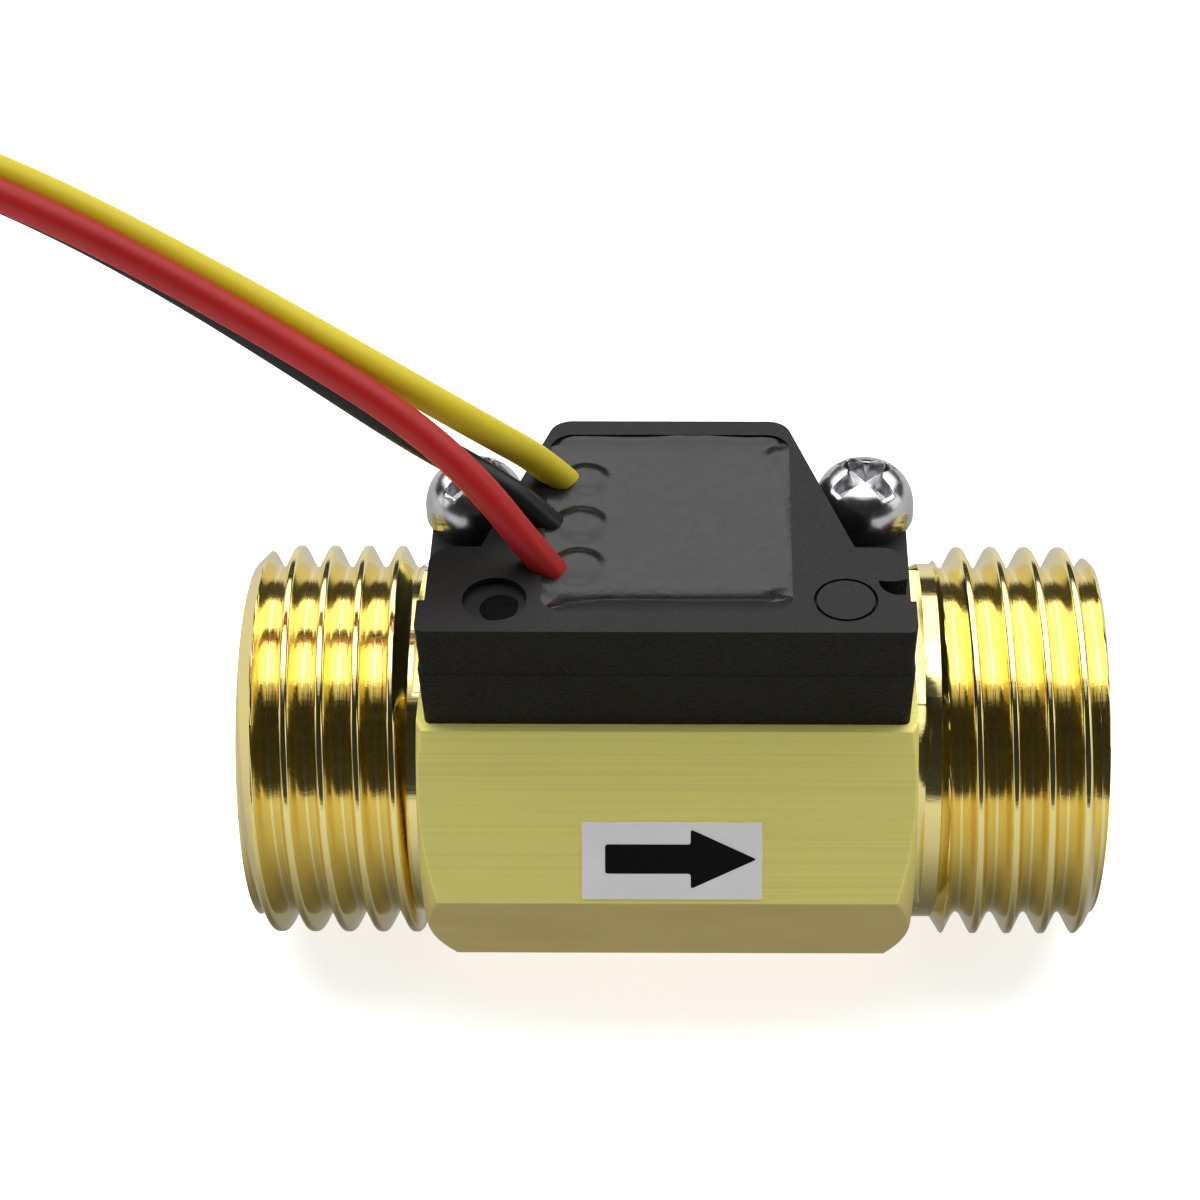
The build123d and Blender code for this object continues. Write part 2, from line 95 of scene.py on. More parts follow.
class Graph:
    """The node tree of one material, with the steps that the finishes share.

    Attributes:
        octave_share: How strong each octave of noise is beside the one before.
        nodes: The tree's nodes.
        links: The tree's links.
        shader: The node that shades the surface.
        place: The texture coordinate node.
    """

    octave_share: ClassVar[float] = 0.6

    def __init__(self, material: bpy.types.Material) -> None:
        """Open a material's tree.

        Args:
            material: The material, with its nodes on.
        """
        self.nodes = material.node_tree.nodes
        self.links = material.node_tree.links
        self.shader = self.nodes["Principled BSDF"]
        self.place = self.nodes.new("ShaderNodeTexCoord")

    def drive(self, name: str, source: bpy.types.NodeSocket) -> None:
        """Let an output drive one input of the shader.

        Args:
            name: The input.
            source: The output.
        """
        self.links.new(source, self.shader.inputs[name])

    def part_of(self, coordinate: str, axis: str) -> bpy.types.NodeSocket:
        """Take one component of a texture coordinate.

        Args:
            coordinate: The coordinate, such as Object or Normal.
            axis: The component.

        Returns:
            The component's output.
        """
        split = self.nodes.new("ShaderNodeSeparateXYZ")
        self.links.new(self.place.outputs[coordinate], split.inputs["Vector"])
        return split.outputs[axis]

    def span(self, value: bpy.types.NodeSocket, source: tuple[float, float],
             target: tuple[float, float] = (0.0, 1.0)) -> bpy.types.NodeSocket:
        """Map one range of a value to another.

        Args:
            value: The value's output.
            source: The range that it comes from.
            target: The range that it goes to.

        Returns:
            The mapped value's output.
        """
        node = self.nodes.new("ShaderNodeMapRange")
        names = ("From Min", "From Max", "To Min", "To Max")
        for name, number in zip(names, (*source, *target)):
            node.inputs[name].default_value = number
        self.links.new(value, node.inputs["Value"])
        return node.outputs["Result"]

    def compute(self, operation: str,
                *terms: bpy.types.NodeSocket | float) -> bpy.types.NodeSocket:
        """Work one sum out.

        Args:
            operation: What is done with the terms.
            terms: Outputs or plain numbers.

        Returns:
            The result's output.
        """
        node = self.nodes.new("ShaderNodeMath")
        node.operation = operation
        for entry, term in zip(node.inputs, terms):
            if isinstance(term, float):
                entry.default_value = term
            else:
                self.links.new(term, entry)
        return node.outputs["Value"]

    def noise(self, size_mm: float, stretch: tuple[float, float, float],
              detail: float) -> bpy.types.NodeSocket:
        """Add one noise texture in object space.

        Args:
            size_mm: Size of a feature.
            stretch: Scale along each axis.
            detail: Octaves of noise.

        Returns:
            The noise's output.
        """
        mapping = self.nodes.new("ShaderNodeMapping")
        mapping.inputs["Scale"].default_value = stretch
        noise = self.nodes.new("ShaderNodeTexNoise")
        noise.inputs["Scale"].default_value = 1.0 / (size_mm * MM)
        noise.inputs["Detail"].default_value = detail
        noise.inputs["Roughness"].default_value = self.octave_share
        self.links.new(self.place.outputs["Object"], mapping.inputs["Vector"])
        self.links.new(mapping.outputs["Vector"], noise.inputs["Vector"])
        return noise.outputs["Fac"]


@dataclass(frozen=True)
class Finish:
    """One procedural finish: colour, gloss, tone changes, fine relief and, where milled, a painted
    highlight.

    Attributes:
        name: Stem of the material name.
        color: Base colour, linear.
        second: The colour that patches drift towards.
        metallic: 0 for plastics, 1 for metals.
        roughness: Mean roughness.
        roughness_spread: How far the roughness drifts either way.
        grain_mm: Size of the fine relief.
        bump: Depth of the fine relief in millimetres.
        patch_mm: Size of the tone patches.
        mark: Direction of the relief.
        coat: Clear coat weight.
        specular: Strength of a plastic's surface reflection.
        satin: Middle and half length along the flow of a part that is milled rougher, in
            millimetres, and how much rougher it is.
        upper_highlight_color: Painted highlight, a brighter colour put on that part's upper faces
            between the brush marks, where the light falls on them.
        brush_mm: Size of the brush marks across the flow.
        brush_share: Least and greatest share of the painted highlight across the brush marks.
        flat_top: Share of the fine relief that level faces keep, 0 for all of it.
        tone_stops: Where the noise turns from the one tone to the other.
        grain_span: The part of the noise that the gloss follows.
        streak_span: The part of the noise that the brush marks follow.
        level_faces: Upward part of the normal from which a face counts as level.
        upper_faces: Upward part of the normal from which a face counts as an upper one and gets the
            painted highlight.
        coat_roughness: Roughness of the clear coat.
        least_roughness: The smoothest that any spot may be.
    """

    name: str
    color: tuple[float, float, float]
    second: tuple[float, float, float]
    metallic: float = 0.0
    roughness: float = 0.5
    roughness_spread: float = 0.08
    grain_mm: float = 0.3
    bump: float = 0.01
    patch_mm: float = 4.0
    mark: Mark = Mark.GRAIN
    coat: float = 0.0
    specular: float = 0.5
    satin: tuple[float, float, float] | None = None
    # painted highlight: a brighter brass colour for the upward faces of the milled part
    upper_highlight_color: tuple[float, float, float] = (1.0, 0.95, 0.36)
    brush_mm: float = 0.2
    brush_share: tuple[float, float] = (0.76, 1.0)
    flat_top: float = 0.0
    tone_stops: tuple[float, float] = (0.3, 0.72)
    grain_span: tuple[float, float] = (0.3, 0.7)
    streak_span: tuple[float, float] = (0.36, 0.54)
    level_faces: tuple[float, float] = (0.3, 0.8)
    upper_faces: tuple[float, float] = (-0.1, 0.1)
    coat_roughness: float = 0.12
    least_roughness: float = 0.02

    def material(self) -> bpy.types.Material:
        """Build the material once and reuse it.

        Returns:
            The Blender material of this finish.
        """
        label = f"{self.name}_finish"
        found = bpy.data.materials.get(label)
        if found is not None:
            return found
        material = bpy.data.materials.new(label)
        material.use_nodes = True
        graph = Graph(material)
        plain = {"Base Color": (*self.color, 1.0), "Metallic": self.metallic,
                 "Roughness": self.roughness, "Specular IOR Level": self.specular,
                 "Coat Weight": self.coat, "Coat Roughness": self.coat_roughness}
        for name, value in plain.items():
            graph.shader.inputs[name].default_value = value
        tone = self._tone(graph)
        fine = graph.noise(self.grain_mm, self.mark.value, 3.0)
        least = max(self.least_roughness, self.roughness - self.roughness_spread)
        most = self.roughness + self.roughness_spread
        gloss = graph.span(fine, self.grain_span, (least, most))
        if self.satin is not None:
            tone, gloss = self._mill(graph, tone, gloss)
        graph.drive("Base Color", tone)
        graph.drive("Roughness", gloss)
        graph.drive("Normal", self._relief(graph, fine))
        return material

    def _tone(self, graph: Graph) -> bpy.types.NodeSocket:
        """Drift between the two tones of the finish.

        Args:
            graph: The material's tree.

        Returns:
            The colour's output.
        """
        ramp = graph.nodes.new("ShaderNodeValToRGB")
        colors = (self.color, self.second)
        for stop, place, color in zip(ramp.color_ramp.elements, self.tone_stops, colors):
            stop.position = place
            stop.color = (*color, 1.0)
        patches = graph.noise(self.patch_mm, Mark.GRAIN.value, 4.0)
        graph.links.new(patches, ramp.inputs["Fac"])
        return ramp.outputs["Color"]

    def _relief(self, graph: Graph, fine: bpy.types.NodeSocket) -> bpy.types.NodeSocket:
        """Raise the fine relief, and keep a moulded grain off the level faces.

        Args:
            graph: The material's tree.
            fine: The noise that the relief follows.

        Returns:
            The normal's output.
        """
        bump = graph.nodes.new("ShaderNodeBump")
        bump.inputs["Strength"].default_value = 1.0
        bump.inputs["Distance"].default_value = self.bump * MM
        graph.links.new(fine, bump.inputs["Height"])
        if self.flat_top:
            upward = graph.part_of("Normal", "Z")
            strength = graph.span(upward, self.level_faces, (1.0, self.flat_top))
            graph.links.new(strength, bump.inputs["Strength"])
        return bump.outputs["Normal"]

    def _mill(self, graph: Graph, tone: bpy.types.NodeSocket, gloss: bpy.types.NodeSocket
              ) -> tuple[bpy.types.NodeSocket, bpy.types.NodeSocket]:
        """Give the milled part of a turned piece its rougher, brushed faces, and paint a highlight
        in a brighter colour on its upward faces.

        Args:
            graph: The material's tree.
            tone: The colour elsewhere.
            gloss: The roughness elsewhere.

        Returns:
            The outputs of the colour and the roughness of the whole piece.
        """
        middle, half, extra = self.satin
        along = graph.part_of("Object", "X")
        within = graph.compute("COMPARE", along, middle * MM, half * MM)
        rougher = graph.compute("MULTIPLY_ADD", within, extra, gloss)
        # painted highlight: the upward faces of the milled part get a brighter colour, streaked by
        # the brush marks
        upper = graph.span(graph.part_of("Normal", "Z"), self.upper_faces)
        brushed = graph.noise(self.brush_mm, Mark.MILLED.value, 2.0)
        streaks = graph.span(brushed, self.streak_span, self.brush_share)
        lit = graph.compute("MULTIPLY", upper, streaks)
        blend = graph.nodes.new("ShaderNodeMixRGB")
        blend.inputs["Color2"].default_value = (*self.upper_highlight_color, 1.0)
        graph.links.new(graph.compute("MULTIPLY", within, lit), blend.inputs["Fac"])
        graph.links.new(tone, blend.inputs["Color1"])
        return blend.outputs["Color"], rougher


# The milled hexagon of the brass also gets the painted highlight on its upward faces.
BRASS = Finish("brass", (0.90, 0.76, 0.33), (0.83, 0.69, 0.28), 1.0, 0.13, 0.04, 0.22, 0.004, 5.0,
               Mark.BRUSHED_ALONG, satin=(-0.27, 12.7, 0.62))
GUIDE = Finish("guide_plastic", (0.80, 0.79, 0.73), (0.74, 0.73, 0.67), 0.0, 0.45)
ROTOR = Finish("rotor_plastic", (0.03, 0.03, 0.035), (0.045, 0.045, 0.05), 0.0, 0.4)
MAGNET = Finish("magnet", (0.05, 0.047, 0.045), (0.08, 0.07, 0.065), 0.0, 0.55, bump=0.02)
STAINLESS = Finish("stainless", (0.60, 0.60, 0.60), (0.52, 0.52, 0.53), 1.0, 0.2, mark=Mark.TURNED)
SPRING = Finish("spring_steel", (0.55, 0.55, 0.56), (0.45, 0.45, 0.47), 1.0, 0.3)
BEARING = Finish("bearing", (0.09, 0.08, 0.07), (0.06, 0.055, 0.05), 0.0, 0.2, coat=0.5)
CASE = Finish("case_plastic", (0.002, 0.002, 0.002), (0.005, 0.005, 0.005), 0.0, 0.46, 0.1, 0.13,
              0.2, 5.0, specular=0.25, flat_top=0.08)
TORN = Finish("torn_plastic", (0.002, 0.002, 0.002), (0.004, 0.004, 0.004), 0.0, 0.7, 0.1, 0.3,
              0.05, specular=0.06)
COMPONENT = Finish("component_plastic", (0.02, 0.02, 0.02), (0.03, 0.03, 0.03), 0.0, 0.45)
CERAMIC = Finish("ceramic", (0.30, 0.20, 0.12), (0.36, 0.26, 0.16), 0.0, 0.35)
BOARD = Finish("board", (0.01, 0.10, 0.035), (0.02, 0.13, 0.05), 0.0, 0.35, grain_mm=0.5)
SOLDER = Finish("solder", (0.65, 0.65, 0.67), (0.55, 0.55, 0.58), 1.0, 0.25, grain_mm=0.5)
RESIN = Finish("resin", (0.007, 0.007, 0.007), (0.012, 0.012, 0.012), 0.0, 0.24, 0.05, 0.7, 0.02,
               3.0, specular=0.38)
PLATED = Finish("plated_steel", (0.56, 0.56, 0.57), (0.44, 0.44, 0.46), 1.0, 0.22, 0.05, 0.4,
                0.006, 2.0)
LABEL = Finish("label", (0.78, 0.78, 0.78), (0.72, 0.72, 0.72), 0.2, 0.40, 0.06, 0.4, 0.006, 3.0)
INK = Finish("ink", (0.002, 0.002, 0.002), (0.004, 0.004, 0.004), 0.0, 0.6, specular=0.12)
RED = Finish("insulation_red", (0.42, 0.012, 0.011), (0.35, 0.010, 0.009), 0.0, 0.46, 0.06, 0.8,
             0.01, 9.0, specular=0.3)
YELLOW = Finish("insulation_yellow", (0.68, 0.55, 0.018), (0.60, 0.48, 0.014), 0.0, 0.46, 0.06,
                0.8, 0.01, 9.0, specular=0.3)
BLACK = Finish("insulation_black", (0.006, 0.006, 0.006), (0.01, 0.01, 0.01), 0.0, 0.4, 0.06,
               0.8, 0.01, 9.0, specular=0.35)
CONNECTOR = Finish("connector_plastic", (0.76, 0.74, 0.66), (0.70, 0.68, 0.60), 0.0, 0.42)
CONTACT = Finish("contact_metal", (0.66, 0.64, 0.58), (0.58, 0.56, 0.52), 1.0, 0.25)


@dataclass
class Piece:
    """One visible mesh on the way into the scene.

    Attributes:
        name: Object name.
        body: Rigid body that it rides on.
        finish: Its finish.
        nodes: The CAD nodes that it stands for.
        weld_m: Vertices of a CAD mesh nearer than this are one.
        flat_deg: Faces of a CAD mesh that turn less than this are one.
        copied_sharp_deg: Edges of a CAD mesh that turn more than this stay crisp.
        bevel_deg: Edges of a CAD mesh that turn more than this are broken.
    """

    name: str
    body: Body
    finish: Finish
    nodes: tuple[str, ...] = ()
    weld_m: ClassVar[float] = 1e-6
    flat_deg: ClassVar[float] = 1.0
    copied_sharp_deg: ClassVar[float] = 32.0
    bevel_deg: ClassVar[float] = 40.0

    def add(self, points: np.ndarray, faces: list[tuple[int, ...]],
            sharp_deg: float = 35.0) -> bpy.types.Object:
        """Make the mesh, dress it and hang it on its body.

        Args:
            points: Vertices, in millimetres about the flow axis.
            faces: Vertex indices of each face.
            sharp_deg: Edges that turn more than this stay crisp.

        Returns:
            The new object.
        """
        mesh = bpy.data.meshes.new(self.name)
        mesh.from_pydata(to_frame(points).tolist(), [], faces)
        mesh.validate()
        thing = bpy.data.objects.new(self.name, mesh)
        bpy.context.scene.collection.objects.link(thing)
        return self._settle(thing, sharp_deg)

    def copy_of(self, source: bpy.types.Object, bevel: float = 0.08) -> bpy.types.Object:
        """Take a CAD node's own shape and break its edges.

        Args:
            source: The CAD object, which is left as it is.
            bevel: Width of the broken edges in millimetres, 0 for none.

        Returns:
            The new object.
        """
        thing = bpy.data.objects.new(self.name, source.data.copy())
        thing.data.materials.clear()
        bpy.context.scene.collection.objects.link(thing)
        mesh = bmesh.new()
        mesh.from_mesh(thing.data)
        bmesh.ops.remove_doubles(mesh, verts=mesh.verts, dist=self.weld_m)
        bmesh.ops.dissolve_limit(mesh, angle_limit=math.radians(self.flat_deg),
                                 verts=mesh.verts, edges=mesh.edges)
        mesh.to_mesh(thing.data)
        mesh.free()
        self._settle(thing, self.copied_sharp_deg)
        if bevel:
            edge = thing.modifiers.new("edge", "BEVEL")
            edge.width = bevel * MM
            edge.segments = 2
            edge.limit_method = "ANGLE"
            edge.angle_limit = math.radians(self.bevel_deg)
            edge.harden_normals = True
        return thing

    def _settle(self, thing: bpy.types.Object, sharp_deg: float) -> bpy.types.Object:
        """Shade, paint and attach an object.

        Args:
            thing: The object.
            sharp_deg: Edges that turn more than this stay crisp.

        Returns:
            The same object.
        """
        mesh = bmesh.new()
        mesh.from_mesh(thing.data)
        bmesh.ops.recalc_face_normals(mesh, faces=mesh.faces)
        for edge in mesh.edges:
            turn = edge.calc_face_angle(0.0) if len(edge.link_faces) == 2 else 0.0
            edge.smooth = turn < math.radians(sharp_deg)
        for face in mesh.faces:
            face.smooth = True
        mesh.to_mesh(thing.data)
        mesh.free()
        thing.data.materials.append(self.finish.material())
        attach(thing, self.body.value)
        if self.nodes:
            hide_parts(*self.nodes)
        LOG.info("%s: %d faces on %s", self.name, len(thing.data.polygons), self.body.value)
        return thing


def loft(rows: list[np.ndarray], closed_rows: bool = False) -> tuple[np.ndarray, list]:
    """Join equal rings of points into a surface.

    Args:
        rows: Rings of points, all of one size, each closed on itself.
        closed_rows: Whether the last ring joins the first.

    Returns:
        The points and the quads.
    """
    size = len(rows[0])
    faces = []
    pairs = len(rows) if closed_rows else len(rows) - 1
    for row in range(pairs):
        low, high = row * size, (row + 1) % len(rows) * size
        for k in range(size):
            after = (k + 1) % size
            faces.append((low + k, low + after, high + after, high + k))
    return np.concatenate(rows), faces


def polar(centre: tuple[float, float], radii: np.ndarray, count: int,
          height: Callable[[np.ndarray, np.ndarray], np.ndarray]) -> list[np.ndarray]:
    """Rings of points of a surface that is a height over a round patch.

    Args:
        centre: The patch's middle.
        radii: Radius of each ring.
        count: Points in a ring.
        height: Gives the height from the offsets along and across the flow.

    Returns:
        One array of points for each ring.
    """
    angle = np.linspace(0.0, 2.0 * math.pi, count, endpoint=False)
    rows = []
    for radius in radii:
        along, across = radius * np.cos(angle), radius * np.sin(angle)
        rows.append(np.stack([centre[0] + along, centre[1] + across, height(along, across)], 1))
    return rows


def capped(rows: list[np.ndarray]) -> tuple[np.ndarray, list]:
    """Loft rings and close both ends.

    Args:
        rows: Rings of points, all of one size.

    Returns:
        The points and the faces.
    """
    points, faces = loft(rows)
    size, last = len(rows[0]), len(points) - len(rows[0])
    return points, [*faces, tuple(range(size)), tuple(range(last, last + size))]


def soft_min(first: np.ndarray, second: np.ndarray, width: float) -> np.ndarray:
    """The lesser of two surfaces, with the crease between them rounded.

    Args:
        first: One set of radii.
        second: The other set.
        width: How wide the rounding is.

    Returns:
        The blended radii.
    """
    gap = np.clip(0.5 + 0.5 * (second - first) / width, 0.0, 1.0)
    return second * (1.0 - gap) + first * gap - width * gap * (1.0 - gap)


@dataclass
class BrassBody:
    """The turned and milled bar with a true right-hand pipe thread at each end.

    Attributes:
        length: Overall length.
        across_flats: Of the hexagon.
        hex_start: Inlet end of the hexagon.
        hex_end: Outlet end of the hexagon.
        crest_r: Thread crest radius.
        pitch: Thread pitch.
        depth: Thread depth.
        inlet_phase: Where a crest of the inlet thread meets the reference angle.
        outlet_phase: The same for the outlet thread.
        reference_angle: The angle about the axis at which the phases hold, in degrees.
        crest_round: Width of the rounding that wears the crests.
        root_round: Width of the rounding in the roots.
        seat: Height of the milled seat.
        relief: Length of the relief beside the hexagon, at the inlet and at the outlet.
        relief_r: Its radius.
        start_step: Height over the relief at which the outlet thread starts.
        start_slope: How steeply it rises to its full height.
        seat_overrun: How far the seat runs past the hexagon at each end.
        chamfer_start_r: Radius of the hexagon's end faces.
        corner_cut: What the bar lacks at its six corners.
        cone_deg: Angle of the turned-off corners to the end faces.
        cone_reach: How far along the bar they are sampled closely.
        end_r: Radius of the body's two ends, from which 45 degree chamfers rise.
        edge_round: Width of the rounding of turned edges.
        face_edge: Width of the ring that keeps the shade of an end face to itself.
        bore: Places along the bar and radii of the bore, from the outlet to the inlet.
        step: Distance of the samples along the threads.
        crisp: Half the distance of the two samples that make a sharp shoulder.
        sharp_deg: Edges that turn more than this stay crisp.
        angles: Where round the bar the outline is sampled, in radians.
    """

    length: float = 44.5
    across_flats: float = ACROSS_FLATS
    hex_start: float = -12.97
    hex_end: float = 12.43
    crest_r: float = 10.4
    pitch: float = 1.8143
    depth: float = 1.162
    inlet_phase: float = -20.13
    outlet_phase: float = 15.1
    reference_angle: float = 49.69
    crest_round: float = 0.13
    root_round: float = 0.32
    seat: float = 7.84
    relief: tuple[float, float] = (0.6, 1.25)
    relief_r: float = 9.2
    start_step: float = 0.3
    start_slope: float = 1.6
    seat_overrun: tuple[float, float] = (0.35, 0.45)
    chamfer_start_r: float = 10.35
    corner_cut: float = 0.04
    cone_deg: float = 30.0
    cone_reach: float = 1.4
    end_r: float = 9.5
    edge_round: float = 0.05
    face_edge: float = 0.03
    bore: tuple[tuple[float, float], ...] = (
        (22.25, 6.13), (22.25, 6.1), (21.75, 5.6), (21.72, 5.6), (8.62, 5.6), (8.6, 6.5),
        (-11.98, 6.5), (-12.0, 7.5), (-16.0, 7.5), (-16.02, 7.95), (-16.98, 7.95),
        (-17.0, 7.5), (-21.72, 7.5), (-21.75, 7.5), (-22.25, 8.0), (-22.25, 8.03),
    )
    step: float = 0.06
    crisp: float = 0.004
    sharp_deg: float = 52.0
    angles: np.ndarray = field(init=False)

    def __post_init__(self) -> None:
        """Lay out the angles so that samples fall on every long edge."""
        base = np.arange(0.0, 360.0, 1.0)
        seat_y = self.across_flats / math.sqrt(3.0) - self.seat / math.sqrt(3.0)
        seat_edge = math.degrees(math.atan2(self.seat, seat_y))
        edges = [60.0 * k for k in range(6)] + [seat_edge, 180.0 - seat_edge]
        close = [edge + step for edge in edges for step in (-0.5, -0.25, 0.0, 0.25, 0.5)]
        self.angles = np.radians(np.unique(np.round(np.concatenate([base, close]) % 360.0, 3)))

    def thread(self, x: float, phase: float) -> np.ndarray:
        """Radius of the thread's surface round the bar.

        A sixth of the sharp thread's height is cut off at the crest, and another at the root.

        Args:
            x: Where along the bar.
            phase: The thread's phase.

        Returns:
            One radius for each angle.
        """
        turn = (self.angles - math.radians(self.reference_angle)) / (2.0 * math.pi)
        place = ((x - phase) / self.pitch - turn) % 1.0
        ridge = np.abs(place - 0.5) * 2.0
        sharp = self.depth / (2.0 / 3.0)
        raw = self.crest_r + sharp / 6.0 - (1.0 - ridge) * sharp
        crest = soft_min(raw, np.full_like(raw, self.crest_r), self.crest_round)
        root = np.full_like(raw, self.depth - self.crest_r)
        return -soft_min(-crest, root, self.root_round)

    def hexagon(self, x: float) -> np.ndarray:
        """Radius of the hexagon, its end cones included.

        Args:
            x: Where along the bar.

        Returns:
            One radius for each angle.
        """
        flat = self.across_flats / 2.0
        turn = (self.angles + math.pi / 6.0) % (math.pi / 3.0) - math.pi / 6.0
        radius = flat / np.cos(np.abs(turn) - math.pi / 6.0)
        inward = min(x - self.hex_start, self.hex_end - x)
        cone = self.chamfer_start_r + inward / math.tan(math.radians(self.cone_deg))
        corner = self.across_flats / math.sqrt(3.0) - self.corner_cut
        bar = np.minimum(radius, np.full_like(radius, corner))
        return soft_min(bar, np.full_like(radius, cone), self.edge_round)

    def ring(self, x: float, radius: np.ndarray) -> np.ndarray:
        """Points of one ring.

        Args:
            x: Where along the bar.
            radius: One radius for each angle.

        Returns:
            The ring's points.
        """
        return np.stack([np.full_like(radius, x), radius * np.cos(self.angles),
                         radius * np.sin(self.angles)], 1)

    def outer(self, x: float) -> np.ndarray:
        """Outer radius at one place along the bar.

        Args:
            x: Where along the bar.

        Returns:
            One radius for each angle.
        """
        start_r = self.relief_r + self.start_step
        outlet_start = self.hex_end + self.relief[1]
        if self.hex_start <= x <= self.hex_end:
            radius = self.hexagon(x)
        elif self.hex_start - self.relief[0] <= x < self.hex_start:
            radius = np.full_like(self.angles, self.relief_r)
        elif x < 0.0:
            radius = self.thread(x, self.inlet_phase)
        else:
            rise = self.start_slope * max(x - outlet_start, 0.0)
            radius = np.minimum(self.thread(x, self.outlet_phase), start_r + rise)
        end = self.end_r + (self.length / 2.0 - abs(x))
        radius = soft_min(radius, np.full_like(radius, end), self.edge_round)
        if self.hex_start - self.seat_overrun[0] <= x <= self.hex_end + self.seat_overrun[1]:
            rise = np.maximum(np.sin(self.angles), 1e-3)
            radius = np.minimum(radius, self.seat / rise)
        return radius

    def stations(self) -> list[float]:
        """Places along the bar where the outline is sampled.

        Returns:
            The x values, in order.
        """
        half = self.length / 2.0
        relief_start = self.hex_start - self.relief[0]
        relief_end = self.hex_end + self.relief[1]
        seat_start = self.hex_start - self.seat_overrun[0]
        seat_end = self.hex_end + self.seat_overrun[1]
        cone_end = self.hex_start + self.cone_reach
        cone_start = self.hex_end - self.cone_reach
        marks = [relief_start, self.hex_start, self.hex_end, relief_end, seat_start, seat_end]
        steps = [np.arange(-half, relief_start, self.step), np.arange(relief_end, half, self.step),
                 np.linspace(self.hex_start, cone_end, 22),
                 np.linspace(cone_start, self.hex_end, 22),
                 np.linspace(cone_end, cone_start, 12)]
        doubled = [mark + side for mark in marks for side in (-self.crisp, self.crisp)]
        return sorted({round(float(x), 4) for x in (*np.concatenate(steps), *doubled, half)})

    def build(self) -> None:
        """Make the body's mesh."""
        half = self.length / 2.0
        rows = [self.ring(x, self.outer(x)) for x in self.stations()]
        rows.append(self.ring(half, self.outer(half) - self.face_edge))
        rows += [self.ring(x, np.full_like(self.angles, r)) for x, r in self.bore]
        rows.append(self.ring(-half, self.outer(-half) - self.face_edge))
        points, faces = loft(rows, closed_rows=True)
        Piece("brass_body", Body.HOUSING, BRASS, ("body",)).add(points, faces, self.sharp_deg)


